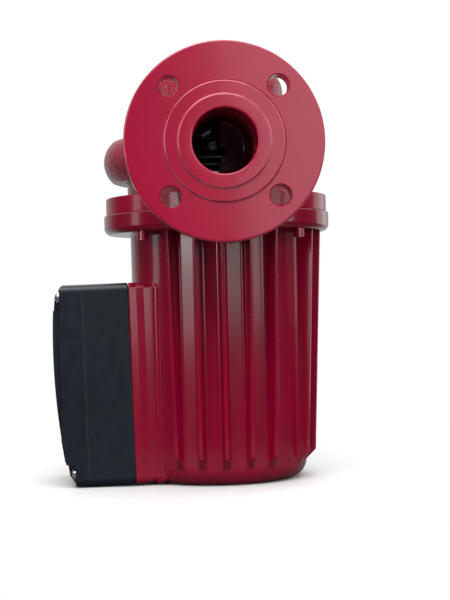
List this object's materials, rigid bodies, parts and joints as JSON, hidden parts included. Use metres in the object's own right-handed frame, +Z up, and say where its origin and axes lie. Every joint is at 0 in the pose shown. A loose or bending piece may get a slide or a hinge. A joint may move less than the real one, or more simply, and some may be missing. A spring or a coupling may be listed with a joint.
{
  "type": "circulator pump",
  "caption": "Flanged inline wet-rotor circulator pump: cast volute casing, finned motor, side terminal box with arched cover and speed selector.",
  "frame": {"origin": "centre of the outlet flange's sealing face", "axes": "+Y into the pump along the pipe line, towards the inlet flange; +Z up, away from the motor; +X to the right seen from the outlet"},
  "size_m": [0.1989, 0.25, 0.2946],
  "materials": {
    "red_casting": "gloss enamel over rough sand casting",
    "red_motor": "gloss enamel over die casting",
    "red_screws": "gloss enamel",
    "stainless": "turned and pressed",
    "brass": "machined",
    "rubber": "matt",
    "gasket": "fibre, matt",
    "carbon": "lapped carbon, satin",
    "laminations": "stacked sheet, varnished",
    "copper": "enamelled wire",
    "lead_sleeve": "glass-fibre sleeve",
    "box_plastic": "fine spark texture",
    "cover_plastic": "fine spark texture",
    "zinc_screws": "zinc plated",
    "bright_screws": "bright plated",
    "block_plastic": "moulded",
    "capacitor_can": "moulded",
    "switch_plastic": "moulded",
    "knob_plastic": "moulded",
    "gland_plastic": "moulded"
  },
  "bodies": {
    "casing": {"pump_housing": "red_casting", "wear_ring": "stainless", "bearing_plate": "stainless", "spigot_seal": "rubber", "housing_gasket": "gasket", "casing_screws": "red_screws", "upper_bearing": "carbon", "lower_bearing": "carbon", "bearing_carrier": "stainless", "rotor_can": "stainless", "stator_core": "laminations", "stator_winding": "copper", "motor_leads": "lead_sleeve", "motor_housing": "red_motor", "vent_plug": "brass", "vent_seal": "rubber", "box_gasket": "rubber", "terminal_box": "box_plastic", "box_screws": "zinc_screws", "cover_gasket": "rubber", "box_cover": "cover_plastic", "cover_screws": "bright_screws", "terminal_block": "block_plastic", "terminal_screws": "brass", "capacitor": "capacitor_can", "capacitor_clip": "zinc_screws", "earth_screw": "brass", "speed_switch": "switch_plastic", "gland_body": "gland_plastic", "gland_seal": "rubber", "gland_nut": "gland_plastic", "blanking_plug": "gland_plastic"},
    "rotor": {"shaft": "stainless", "impeller": "stainless", "impeller_nut": "brass", "rotor_core": "laminations", "rotor_sleeve": "stainless", "rotor_end_rings": "copper", "thrust_bearing": "carbon", "thrust_retainer": "rubber"},
    "knob": {"speed_knob": "knob_plastic"}
  },
  "joints": [
    {"name": "rotor_spin", "type": "hinge", "parent": "casing", "child": "rotor", "pos_m": [0, 0.125, -0.1], "axis": [0, 0, 1], "continuous": true},
    {"name": "speed_select", "type": "hinge", "parent": "casing", "child": "knob", "pos_m": [-0.11384, 0.125, -0.13715], "axis": [-0.9998, 0, -0.018], "range_deg": [-60, 60]}
  ]
}
